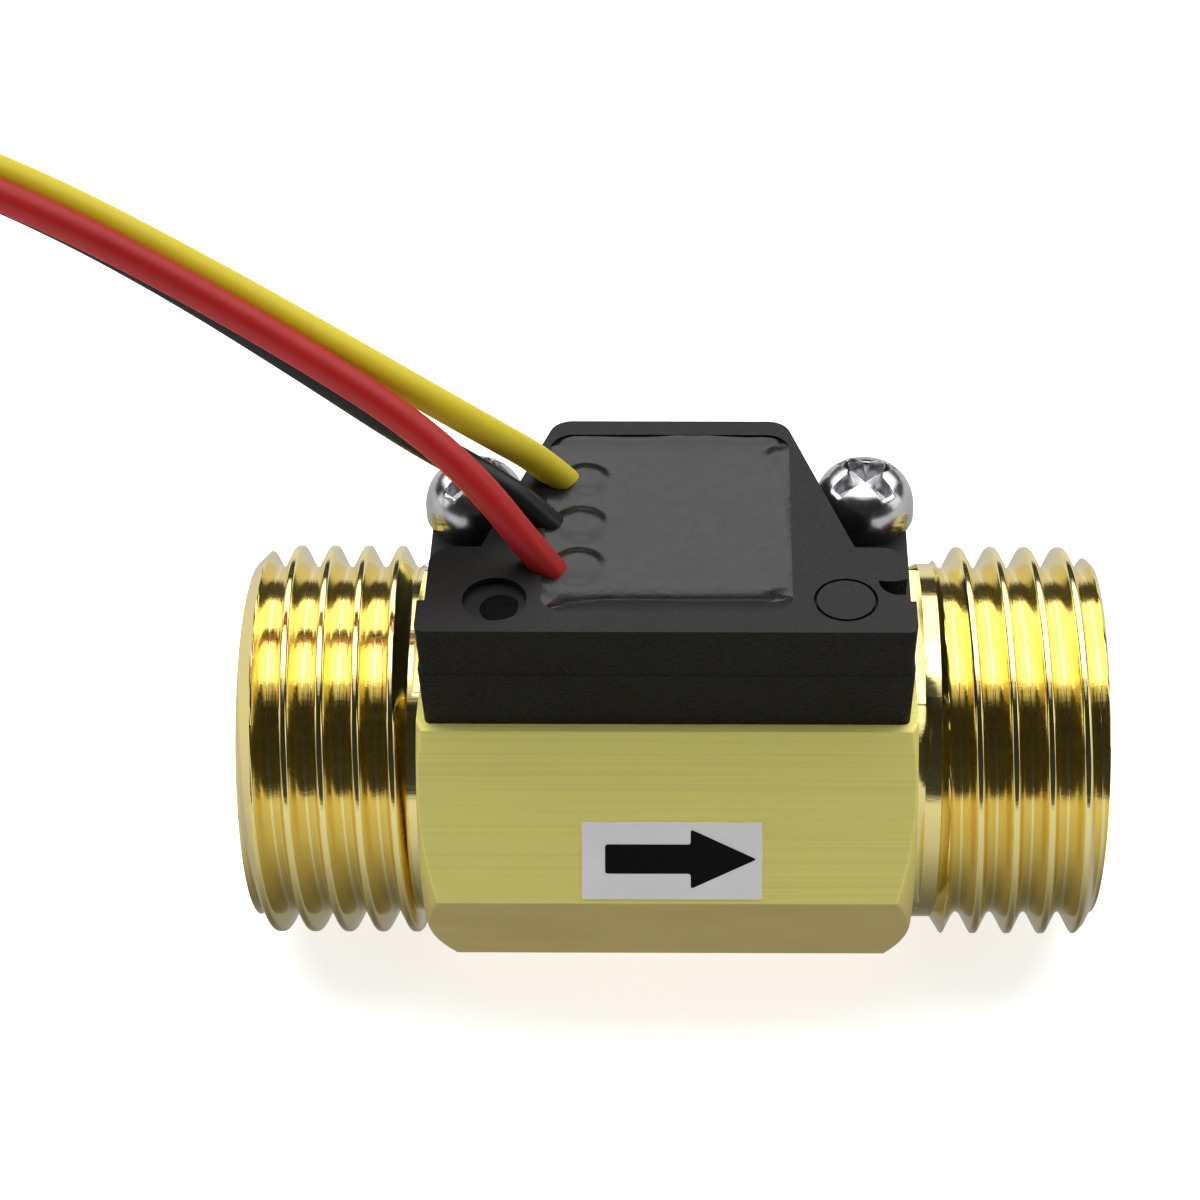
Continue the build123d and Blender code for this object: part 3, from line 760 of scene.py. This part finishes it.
@dataclass
class SensorCase:
    """The moulded case with its resin, board and parts.

    Attributes:
        nodes: The CAD objects by name.
        resin_top: Level of the resin.
        brim: The resin's highest level.
        low: Inlet and front sides of the resin's pocket.
        high: Outlet and back sides of the resin's pocket.
        corner_r: Radius of the pocket's corners.
        floor: Level of the resin's underside.
        bow: How far the front wall stands in, how far it bows from there towards the middle,
            and over which length.
        flare: How much further it bows at the outlet side, over which length, and how far
            from that side this starts.
        menisci: Rise and reach of the resin at the inlet, outlet, front and back walls.
        lumps: Place, rise and spread of the lumps in the resin.
        collars: Place and radius of the resin's collars round the leads.
        collar_rise: How proud the collars stand.
        fold: Rise of the fold along the outlet wall, its distance from it and its half width.
        ripple: Height of the slow waves in the resin.
        waves: Rate and phase of these waves along the flow, and across it.
        ledge: Level of the front ledge's foot, of the start of its rounding and of its top.
        ledge_back: How far the ledge reaches into the case.
    """

    nodes: dict[str, bpy.types.Object]
    resin_top: float = 13.95
    brim: float = 14.27
    low: tuple[float, float] = (-6.54, -5.75)
    high: tuple[float, float] = (6.0, 8.3)
    corner_r: float = 1.2
    floor: float = 8.85
    bow: tuple[float, float, float] = (0.05, 0.8, 3.6)
    flare: tuple[float, float, float] = (0.25, 0.9, 1.1)
    menisci: tuple[tuple[float, float], ...] = (
        (0.22, 0.45), (0.26, 0.6), (0.27, 0.5), (0.22, 0.45),
    )
    lumps: tuple[tuple[float, float, float, float], ...] = (
        (-6.0, -4.9, 0.10, 1.1), (5.3, -4.4, 0.10, 0.6), (5.3, 6.9, 0.10, 0.6),
        (1.0, 8.2, 0.10, 1.8),
    )
    collars: tuple[tuple[float, float, float], ...] = (
        (-4.6, 5.0, 1.1), (-4.75, 1.3, 1.25), (-4.75, -2.0, 1.25),
    )
    collar_rise: float = 0.2
    fold: tuple[float, float, float] = (0.05, 0.85, 0.25)
    ripple: float = 0.03
    waves: tuple[tuple[float, float], ...] = ((1.1, 0.7), (0.8, 0.0))
    ledge: tuple[float, float, float] = (13.0, 14.17, 14.292)
    ledge_back: float = 0.2

    def front_line(self, x: float) -> float:
        """Where the resin meets the case's front wall.

        Args:
            x: Place along the flow.

        Returns:
            The place across the flow.
        """
        stand, depth, length = self.bow
        flare, flare_length, flare_start = self.flare
        into = min(max((x - self.low[0]) / length, 0.0), 1.0)
        out = min(max((x - self.high[0] + flare_start) / flare_length, 0.0), 1.0)
        return self.low[1] + stand + depth * into * (2.0 - into) + flare * out * out

    def resin_height(self, x: float, y: float) -> float:
        """Height of the resin's skin.

        Args:
            x: Place along the flow.
            y: Place across it.

        Returns:
            The height over the flow axis.
        """
        gaps = (x - self.low[0], self.high[0] - x, y - self.front_line(x), self.high[1] - y)
        height = self.resin_top
        height += max(rise * math.exp(-max(gap, 0.0) / reach)
                      for gap, (rise, reach) in zip(gaps, self.menisci))
        for lump_x, lump_y, rise, spread in self.lumps:
            apart = ((x - lump_x) ** 2 + (y - lump_y) ** 2) / spread ** 2
            height += rise * math.exp(-apart)
        height += max(self.collar_rise
                      * math.exp(-(math.hypot(x - mid_x, y - mid_y) / radius) ** 6)
                      for mid_x, mid_y, radius in self.collars)
        fold_rise, fold_gap, fold_half = self.fold
        height += fold_rise * math.exp(-((self.high[0] - x - fold_gap) / fold_half) ** 2)
        (rate_x, phase_x), (rate_y, phase_y) = self.waves
        height += self.ripple * math.sin(rate_x * x + phase_x) * math.cos(rate_y * y + phase_y)
        return min(height, self.brim)

    def _front_ledge(self) -> None:
        """Make the ledge of the case that bounds the resin at the front."""
        rows = []
        foot, shoulder, top = self.ledge
        back = self.low[1] - self.ledge_back
        for x in np.linspace(self.low[0] - 0.1, self.high[0] + 0.1, 61):
            line = self.front_line(x)
            outline = ((back, foot), (line, foot), (line, shoulder), (line - 0.04, top - 0.042),
                       (line - 0.12, top), (back, top))
            rows.append(np.array([(x, y, z) for y, z in outline]))
        points, faces = capped(rows)
        Piece("front_ledge", Body.HOUSING, CASE).add(points, faces, sharp_deg=50.0)

    def _resin(self) -> None:
        """Make the cast resin with its meniscus and lumps."""
        columns, rows = 140, 150
        skin = []
        for j in range(rows + 1):
            y = self.low[1] + (self.high[1] - self.low[1]) * j / rows
            into = max(self.corner_r - (y - self.low[1]), self.corner_r - (self.high[1] - y), 0.0)
            inset = self.corner_r - math.sqrt(max(self.corner_r ** 2 - into ** 2, 0.0))
            for i in range(columns + 1):
                share = i / columns
                x = self.low[0] + inset + (self.high[0] - self.low[0] - 2 * inset) * share
                skin.append((x, y, self.resin_height(x, y)))
        wide = columns + 1
        faces = [(j * wide + i, j * wide + i + 1, (j + 1) * wide + i + 1, (j + 1) * wide + i)
                 for j in range(rows) for i in range(columns)]
        rim = [*range(wide), *[j * wide + columns for j in range(1, rows + 1)],
               *[rows * wide + i for i in range(columns - 1, -1, -1)],
               *[j * wide for j in range(rows - 1, 0, -1)]]
        base = len(skin)
        skin += [(skin[k][0], skin[k][1], self.floor) for k in rim]
        count = len(rim)
        faces += [(rim[k], base + k, base + (k + 1) % count, rim[(k + 1) % count])
                  for k in range(count)]
        faces.append(tuple(base + k for k in range(count)))
        resin = Piece("cast_resin", Body.HOUSING, RESIN, ("potting",))
        resin.add(np.array(skin), faces, sharp_deg=60.0)

    def build(self) -> None:
        """Make the case and everything in it."""
        dressing = (
            ("sensor_case", CASE, 0.14), ("circuit_board", BOARD, 0.05),
            ("hall_sensor", COMPONENT, 0.05),
            ("resistor", COMPONENT, 0.05), ("capacitor", CERAMIC, 0.05),
            ("solder_joints", SOLDER, 0.2),
        )
        for node, finish, bevel in dressing:
            Piece(f"{node}_skin", Body.HOUSING, finish, (node,)).copy_of(self.nodes[node], bevel)
        self._resin()
        self._front_ledge()


@dataclass
class CaseScrews:
    """The two screws with domed heads and tapered cross recesses.

    Attributes:
        centres: Where they stand.
        tip: Height of the shank's end.
        seat: Height of the ears under the heads.
        shank_r: Radius of the shank.
        head_r: Radius of the head.
        rim: Height of the head's straight edge over the ears.
        height: Height of the head.
        turns: How far each cross is turned, in degrees.
        arm_length: Length of the cross's arms from the middle.
        arm_half: Half width of the arms in the middle.
        arm_taper: How much narrower the half width gets for each millimetre outwards.
        arm_walls: Width of the slanted walls at the arms' sides and at their ends.
        web_r: Radius of the round recess in the middle.
        web_wall: Width of its slanted wall.
        recess: Depth of the cross in the middle.
        recess_rise: How much shallower it gets for each millimetre outwards.
        around: Samples round the head.
    """

    centres: tuple[tuple[float, float], ...] = ((-10.47, 5.5), (9.93, 5.5))
    tip: float = 5.6
    seat: float = 11.3
    shank_r: float = 1.25
    head_r: float = 2.63
    rim: float = 0.55
    height: float = 2.75
    turns: tuple[float, float] = (52.0, 38.0)
    arm_length: float = 1.9
    arm_half: float = 0.58
    arm_taper: float = 0.08
    arm_walls: tuple[float, float] = (0.16, 0.45)
    web_r: float = 0.92
    web_wall: float = 0.4
    recess: float = 1.25
    recess_rise: float = 0.3
    around: int = 180

    def dome(self, along: np.ndarray, across: np.ndarray) -> np.ndarray:
        """Height of the head before its cross is sunk.

        Args:
            along: Offsets along the flow.
            across: Offsets across it.

        Returns:
            The heights over the flow axis.
        """
        share = np.clip(np.hypot(along, across) / self.head_r, 0.0, 1.0)
        return self.seat + self.rim + (self.height - self.rim) * (1.0 - share ** 3.0) ** 0.5

    def head(self, along: np.ndarray, across: np.ndarray, turn: float) -> np.ndarray:
        """Height of the head with its cross recess.

        Args:
            along: Offsets along the flow.
            across: Offsets across it.
            turn: How far the cross is turned, in radians.

        Returns:
            The heights over the flow axis.
        """
        first = np.abs(along * math.cos(turn) + across * math.sin(turn))
        second = np.abs(across * math.cos(turn) - along * math.sin(turn))
        reach = np.hypot(along, across)
        sides = self.arm_half - self.arm_taper * reach - np.minimum(first, second)
        ends = self.arm_length - np.maximum(first, second)
        side_wall, end_wall = self.arm_walls
        arms = np.clip(sides / side_wall, 0.0, 1.0) * np.clip(ends / end_wall, 0.0, 1.0)
        web = np.clip((self.web_r - reach) / self.web_wall, 0.0, 1.0)
        depth = self.recess - self.recess_rise * reach
        return self.dome(along, across) - depth * np.maximum(arms, web)

    def build(self) -> None:
        """Make both screws as one piece."""
        radii = np.concatenate([self.head_r * np.sin(np.radians(np.arange(90.0, 46.0, -4.0))),
                                np.arange(1.85, 0.02, -0.045)])
        points, faces = [], []
        for centre, turn_deg in zip(self.centres, self.turns):
            turn = math.radians(turn_deg)
            rows = polar(centre, [self.shank_r], self.around,
                         lambda u, v: np.full_like(u, self.tip))
            rows += polar(centre, [self.shank_r, self.head_r], self.around,
                          lambda u, v: np.full_like(u, self.seat))
            rows += polar(centre, radii, self.around,
                          lambda u, v, turn=turn: self.head(u, v, turn))
            more_points, more_faces = capped(rows)
            base = sum(len(block) for block in points)
            points.append(more_points)
            faces += [tuple(base + k for k in face) for face in more_faces]
        screws = Piece("case_screws_skin", Body.HOUSING, PLATED, ("case_screws",))
        screws.add(np.concatenate(points), faces, sharp_deg=50.0)


@dataclass
class GateMark:
    """The rough stub that the moulding gate left in the left recess.

    Attributes:
        centre: Where it stands.
        floor: Height of the recess's floor.
        radius: Its reach.
        rise: How proud it stands.
        level: Share of the rise in the middle.
        torn: Share of the rise that the torn waves take.
        lean: Share of the rise by which it leans to the back and the inlet.
        waves: Rate and phase of the torn waves along the flow, and across it.
        around: Samples round it.
    """

    centre: tuple[float, float] = (-8.5, -5.15)
    floor: float = 13.86
    radius: float = 1.1
    rise: float = 0.3
    level: float = 0.7
    torn: float = 0.15
    lean: float = 0.45
    waves: tuple[tuple[float, float], ...] = ((2.9, 1.7), (2.3, -0.6))
    around: int = 72

    def height(self, along: np.ndarray, across: np.ndarray) -> np.ndarray:
        """Height of the torn plastic.

        Args:
            along: Offsets along the flow.
            across: Offsets across it.

        Returns:
            The heights over the flow axis.
        """
        share = np.clip(np.hypot(along, across) / self.radius, 0.0, 1.0)
        (rate_x, phase_x), (rate_y, phase_y) = self.waves
        waves = np.sin(rate_x * along + phase_x) * np.cos(rate_y * across + phase_y)
        lean = self.lean * (across - along) / self.radius
        full = self.level + self.torn * waves + lean
        return self.floor + self.rise * (1.0 - share ** 3) * full

    def build(self) -> None:
        """Make the stub."""
        rows = polar(self.centre, [self.radius], self.around,
                     lambda u, v: np.full_like(u, self.floor))
        radii = self.radius * np.arange(0.98, 0.01, -0.06)
        rows += polar(self.centre, radii, self.around, self.height)
        points, faces = capped(rows)
        Piece("gate_mark", Body.HOUSING, TORN).add(points, faces, sharp_deg=60.0)


@dataclass
class FlowPath:
    """Guides, bushes and ring in the bore, and the turning set between them.

    Attributes:
        nodes: The CAD objects by name.
    """

    nodes: dict[str, bpy.types.Object]

    def build(self) -> None:
        """Dress every piece in the bore."""
        dressing = (
            ("inlet_guide", Body.HOUSING, GUIDE, 0.1), ("outlet_guide", Body.HOUSING, GUIDE, 0.1),
            ("retaining_ring", Body.HOUSING, SPRING, 0.2),
            ("inlet_bush", Body.HOUSING, BEARING, 0.05),
            ("outlet_bush", Body.HOUSING, BEARING, 0.05),
            ("thrust_washers", Body.HOUSING, BEARING, 0.04),
            ("rotor", Body.TURBINE, ROTOR, 0.06), ("ring_magnet", Body.TURBINE, MAGNET, 0.1),
            ("shaft", Body.TURBINE, STAINLESS, 0.08),
        )
        for node, body, finish, bevel in dressing:
            Piece(f"{node}_skin", body, finish, (node,)).copy_of(self.nodes[node], bevel)


@dataclass
class FlowLabel:
    """The silver sticker with its generic flow arrow.

    Attributes:
        middle_x: Middle of the sticker along the flow.
        length: Along the flow.
        height: Up the flat.
        thickness: Of the film.
        above_edge: Middle of the sticker above the hexagon's front edge.
        corner_r: Radius of the sticker's corners.
        arrow_ends: Where the arrow's tail, the back of its head and its tip are, along the
            flow from the sticker's middle.
        arrow_half: Half width of the arrow's tail.
        head_half: Half width of its head.
        arrow_corner: Length of the curve at each of its corners.
        arrow_rise: Middle of the arrow above that of the sticker.
        film_gap: How far the sticker's face lies under the arrow's.
        print_depth: How far the arrow is let in.
        face_deg: How far the flat leans back.
    """

    middle_x: float = -0.02
    length: float = 9.15
    height: float = 4.04
    thickness: float = 0.1
    above_edge: float = 2.32
    corner_r: float = 0.06
    arrow_ends: tuple[float, float, float] = (-3.4, 0.95, 4.3)
    arrow_half: float = 0.77
    head_half: float = 1.57
    arrow_corner: float = 0.16
    arrow_rise: float = 0.1
    film_gap: float = 0.012
    print_depth: float = 0.014
    face_deg: float = 30.0

    def place(self, flat: list[tuple[float, float]], lift: float) -> np.ndarray:
        """Put flat points on the hexagon's front upper face.

        Args:
            flat: Points as (along, up) from the sticker's middle.
            lift: How far off the brass.

        Returns:
            The points about the flow axis.
        """
        lean = math.radians(self.face_deg)
        out = np.array([0.0, -math.cos(lean), math.sin(lean)])
        up = np.array([0.0, math.sin(lean), math.cos(lean)])
        half_face = ACROSS_FLATS / math.sqrt(3) / 2
        middle = out * (ACROSS_FLATS / 2.0) + up * (self.above_edge - half_face)
        middle[0] += self.middle_x
        along = np.array([1.0, 0.0, 0.0])
        return np.array([middle + along * a + up * b + out * lift for a, b in flat])

    def slab(self, name: str, finish: Finish, outline: list[tuple[float, float]], low: float,
             high: float, nodes: tuple[str, ...]) -> None:
        """Make one thin flat piece.

        Args:
            name: Object name.
            finish: Its finish.
            outline: Corners as (along, up).
            low: Height of its back over the brass.
            high: Height of its face.
            nodes: The CAD nodes that it stands for.
        """
        points = np.concatenate([self.place(outline, low), self.place(outline, high)])
        count = len(outline)
        faces = [tuple(range(count, 2 * count)), tuple(reversed(range(count)))]
        faces += [(k, (k + 1) % count, count + (k + 1) % count, count + k) for k in range(count)]
        Piece(name, Body.HOUSING, finish, nodes).add(points, faces)

    def rounded(self, corners: list[tuple[float, float]]) -> list[tuple[float, float]]:
        """Break the corners of a flat outline by short curves.

        Args:
            corners: The outline's corners.

        Returns:
            The outline with each corner drawn as a curve.
        """
        outline = []
        for k, corner in enumerate(corners):
            here = np.array(corner)
            before = np.array(corners[k - 1]) - here
            after = np.array(corners[(k + 1) % len(corners)]) - here
            start = before * self.arrow_corner / np.linalg.norm(before)
            end = after * self.arrow_corner / np.linalg.norm(after)
            for t in (0.0, 0.25, 0.5, 0.75, 1.0):
                point = here + start * (1.0 - t) ** 2 + end * t ** 2
                outline.append((float(point[0]), float(point[1])))
        return outline

    def build(self) -> None:
        """Make the sticker and the arrow on it."""
        corners = []
        half_l, half_h = self.length / 2 - self.corner_r, self.height / 2 - self.corner_r
        for quarter, (a, b) in enumerate(((1, 1), (-1, 1), (-1, -1), (1, -1))):
            for step in range(7):
                turn = math.radians(90 * quarter + 15 * step)
                corners.append((a * half_l + self.corner_r * math.cos(turn),
                                b * half_h + self.corner_r * math.sin(turn)))
        face = self.thickness - self.film_gap
        self.slab("sticker", LABEL, corners, 0.0, face, ("flow_label",))
        tail, neck, tip = self.arrow_ends
        corners = [(tail, -self.arrow_half), (neck, -self.arrow_half), (neck, -self.head_half),
                   (tip, 0.0), (neck, self.head_half), (neck, self.arrow_half),
                   (tail, self.arrow_half)]
        arrow = [(a, b + self.arrow_rise) for a, b in self.rounded(corners)]
        low = self.thickness - self.print_depth
        self.slab("flow_arrow", INK, arrow, low, self.thickness, ())


@dataclass
class Lead:
    """One insulated lead from the resin to the connector.

    Attributes:
        node: Its CAD node.
        finish: Its colour.
        route: Centreline in millimetres about the flow axis.
        length: Its length in millimetres.
        radius: Radius over the insulation.
    """

    node: str
    finish: Finish
    route: tuple[tuple[float, float, float], ...]
    length: float
    radius: float = 0.8

    def build(self) -> bpy.types.Object:
        """Lay the lead along its route.

        Returns:
            The curve object.
        """
        data = bpy.data.curves.new(f"{self.node}_lead", "CURVE")
        data.dimensions = "3D"
        data.bevel_depth = self.radius * MM
        data.bevel_resolution = 8
        data.resolution_u = 16
        data.use_fill_caps = True
        spline = data.splines.new("NURBS")
        points = to_frame(np.array(self.route))
        spline.points.add(len(points) - 1)
        for target, point in zip(spline.points, points):
            target.co = (*point, 1.0)
        spline.order_u = 3
        spline.use_endpoint_u = True
        thing = bpy.data.objects.new(f"{self.node}_lead", data)
        bpy.context.scene.collection.objects.link(thing)
        data.materials.append(self.finish.material())
        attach(thing, Body.HOUSING.value)
        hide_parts(self.node)
        LOG.info("%s: lead of %.0f mm", self.node, self.length)
        return thing

    def declare(self, thing: bpy.types.Object, pieces: list[bpy.types.Object]) -> None:
        """Args:
            thing: The curve object; not used.
            pieces: What is on its far end; not used.
        """
        exit_point = to_frame(np.array([self.route[0]]))[0]


@dataclass
class Harness:
    """The three leads and the generic three-way connector.

    Attributes:
        nodes: The CAD objects by name.
        red: Route of the supply lead.
        black: Route of the ground lead.
        yellow: Route of the pulse lead.
    """

    nodes: dict[str, bpy.types.Object]
    red: tuple[tuple[float, float, float], ...] = (
        (-4.6, -2.6, 11.9), (-7, -2.1, 15.1), (-9.6, -0.5, 18.1), (-13.1, 1.6, 20.4),
        (-18.6, 3.8, 23.1), (-24.7, 5.4, 26.3), (-30.7, 6.7, 29.2), (-36.9, 7.9, 31.4),
        (-43.3, 8.3, 32.4), (-49.6, 6.3, 32.2), (-55.3, 2.4, 30.4), (-60, -3.2, 27),
        (-63.1, -9.4, 22.1), (-64.8, -14.4, 16), (-65.6, -16.9, 9.4), (-65.9, -17.3, 3.8),
        (-65.9, -17.2, -1.5), (-63.6, -17, -5.3), (-59.7, -17, -7.6), (-55.2, -17, -7.6),
    )
    black: tuple[tuple[float, float, float], ...] = (
        (-4.6, 1.3, 11.7), (-7, 1.45, 14.7), (-9.6, 2.1, 16.5), (-13.1, 2.9, 18.3),
        (-18.8, 5.2, 21.2), (-24.9, 7.3, 24.4), (-30.9, 8.8, 27.4), (-37, 10.1, 29.7),
        (-43.6, 9.8, 30.5), (-50, 7.8, 30.3), (-55.8, 3.9, 28.7), (-60.7, -1.7, 25.5),
        (-64.2, -8, 21.1), (-66.3, -13.3, 15.5), (-67.4, -17.1, 9.6), (-66.8, -19.1, 4),
        (-65.9, -19.5, -1.4), (-63.6, -19.5, -5.3), (-59.7, -19.5, -7.6), (-55.2, -19.5, -7.6),
    )
    yellow: tuple[tuple[float, float, float], ...] = (
        (-4.4, 5.3, 12), (-6.7, 4.8, 15.2), (-9.1, 3.65, 17.9), (-13, 3.75, 20.7),
        (-18.8, 5.65, 23.4), (-24.9, 7.15, 26.5), (-30.9, 8.45, 29.4), (-37.1, 9.7, 31.6),
        (-43.5, 10.1, 32.6), (-50.4, 8.1, 32.3), (-56.7, 3.9, 30.5), (-61.8, -2.1, 27.1),
        (-65.3, -8.7, 22.4), (-67.4, -14.3, 16.5), (-68.1, -18.7, 10.2), (-67, -21.1, 4.3),
        (-65.9, -21.8, -1.3), (-63.6, -22, -5.3), (-59.7, -22, -7.6), (-55.2, -22, -7.6),
    )

    def build(self) -> None:
        """Make the leads and the connector."""
        housing = Piece("connector_skin", Body.HOUSING, CONNECTOR, ("connector_housing",))
        contacts = Piece("contact_skin", Body.HOUSING, CONTACT, ("connector_contacts",))
        pieces = [housing.copy_of(self.nodes["connector_housing"], 0.12),
                  contacts.copy_of(self.nodes["connector_contacts"], 0.05)]
        leads = (Lead("wire_red", RED, self.red, 115.7),
                 Lead("wire_black", BLACK, self.black, 115.2),
                 Lead("wire_yellow", YELLOW, self.yellow, 119.8))
        for lead in leads:
            lead.declare(lead.build(), pieces)


@dataclass
class Studio:
    """Camera, floor, lamps and sky.

    Attributes:
        lens: Focal length for a 36 mm sensor.
        shift: Lens shift that the photo's framing needs.
        camera_at: Where the camera stands, in millimetres about the flow axis.
        look_down_deg: How far it looks down.
        pan_deg: How far it is turned to the left.
        sky_levels: Heights in the sky, from straight down at 0 to straight up at 1, and the
            brightness there.
        floor_glow: How much light the floor gives off.
        lamps: Name, place and two sides in metres, and power in watts, of each soft box.
    """

    lens: float = 88.6
    shift: tuple[float, float] = (-0.0888, 0.0462)
    camera_at: tuple[float, float, float] = (2.13, -114.64, 110.90)
    look_down_deg: float = 42.43
    pan_deg: float = 0.22
    sky_levels: tuple[tuple[float, float], ...] = (
        (0.0, 0.15), (0.25, 0.64), (0.48, 0.86), (0.53, 0.90), (0.56, 0.05), (0.962, 0.02),
        (0.978, 0.9), (1.0, 1.0),
    )
    floor_glow: float = 0.72
    lamps: tuple[tuple[str, tuple[float, float, float], tuple[float, float], float], ...] = (
        ("top", (0.0, 0.26, 0.55), (1.3, 0.8), 7.5),
        ("left", (-0.7, -0.05, 0.30), (0.4, 0.4), 0.7),
        ("right", (0.7, -0.05, 0.30), (0.4, 0.4), 0.7),
    )

    def camera(self) -> None:
        """Put the camera where the photo was taken from."""
        data = bpy.data.cameras.new("camera")
        data.sensor_width = 36.0
        data.lens = self.lens
        data.shift_x, data.shift_y = self.shift
        data.clip_start = 0.005
        data.clip_end = 20.0
        thing = bpy.data.objects.new("camera", data)
        bpy.context.scene.collection.objects.link(thing)
        thing.location = to_frame(np.array([self.camera_at]))[0]
        thing.rotation_euler = (math.radians(90.0 - self.look_down_deg), 0.0,
                                math.radians(self.pan_deg))
        bpy.context.scene.camera = thing

    def lamp(self, name: str, place: tuple[float, float, float], size: tuple[float, float],
             power: float) -> None:
        """Add one soft box that faces the object.

        Args:
            name: Its name.
            place: Where it stands, in metres.
            size: Its two sides in metres.
            power: In watts.
        """
        data = bpy.data.lights.new(name, "AREA")
        data.shape = "RECTANGLE"
        data.size, data.size_y = size
        data.energy = power
        thing = bpy.data.objects.new(name, data)
        bpy.context.scene.collection.objects.link(thing)
        thing.location = place
        aim = Vector((0.0, 0.0, 0.01)) - Vector(place)
        thing.rotation_euler = aim.to_track_quat("-Z", "Y").to_euler()

    def sky(self) -> None:
        """Light the room from a plain graded sky."""
        world = bpy.data.worlds.new("studio")
        world.use_nodes = True
        nodes, links = world.node_tree.nodes, world.node_tree.links
        place = nodes.new("ShaderNodeTexCoord")
        split = nodes.new("ShaderNodeSeparateXYZ")
        rise = nodes.new("ShaderNodeMapRange")
        rise.inputs["From Min"].default_value = -1.0
        rise.inputs["From Max"].default_value = 1.0
        ramp = nodes.new("ShaderNodeValToRGB")
        stops = ramp.color_ramp.elements
        while len(stops) < len(self.sky_levels):
            stops.new(1.0)
        for stop, (position, level) in zip(stops, self.sky_levels):
            stop.position = position
            stop.color = (level, level, level, 1.0)
        links.new(place.outputs["Generated"], split.inputs["Vector"])
        links.new(split.outputs["Z"], rise.inputs["Value"])
        links.new(rise.outputs["Result"], ramp.inputs["Fac"])
        links.new(ramp.outputs["Color"], nodes["Background"].inputs["Color"])
        nodes["Background"].inputs["Strength"].default_value = 1.0
        bpy.context.scene.world = world

    def floor(self) -> None:
        """Lay the plain pale floor that the part stands on."""
        mesh = bpy.data.meshes.new("floor")
        reach = 3.0
        mesh.from_pydata([(-reach, -reach, 0.0), (reach, -reach, 0.0), (reach, reach, 0.0),
                          (-reach, reach, 0.0)], [], [(0, 1, 2, 3)])
        thing = bpy.data.objects.new("floor", mesh)
        bpy.context.scene.collection.objects.link(thing)
        material = bpy.data.materials.new("floor")
        material.use_nodes = True
        shader = material.node_tree.nodes["Principled BSDF"]
        plain = {"Base Color": (0.86, 0.86, 0.86, 1.0), "Roughness": 0.9,
                 "Specular IOR Level": 0.1, "Emission Color": (1.0, 1.0, 1.0, 1.0),
                 "Emission Strength": self.floor_glow}
        for name, value in plain.items():
            shader.inputs[name].default_value = value
        mesh.materials.append(material)
        thing.visible_glossy = False

    def build(self) -> None:
        """Set the whole studio."""
        self.camera()
        self.sky()
        self.floor()
        for name, place, size, power in self.lamps:
            self.lamp(name, place, size, power)
        bpy.context.scene.view_settings.view_transform = "Standard"


def main() -> None:
    """Build every sub-assembly in order, then the studio."""
    logging.basicConfig(level=logging.INFO, format="%(message)s")
    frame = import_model()
    nodes = frame["nodes"]
    parts = (BrassBody(), FlowPath(nodes), SensorCase(nodes), CaseScrews(), GateMark(),
             FlowLabel(), Harness(nodes), Studio())
    for part in parts:
        part.build()
        LOG.info("built %s", type(part).__name__)


if __name__ == "__main__":
    main()
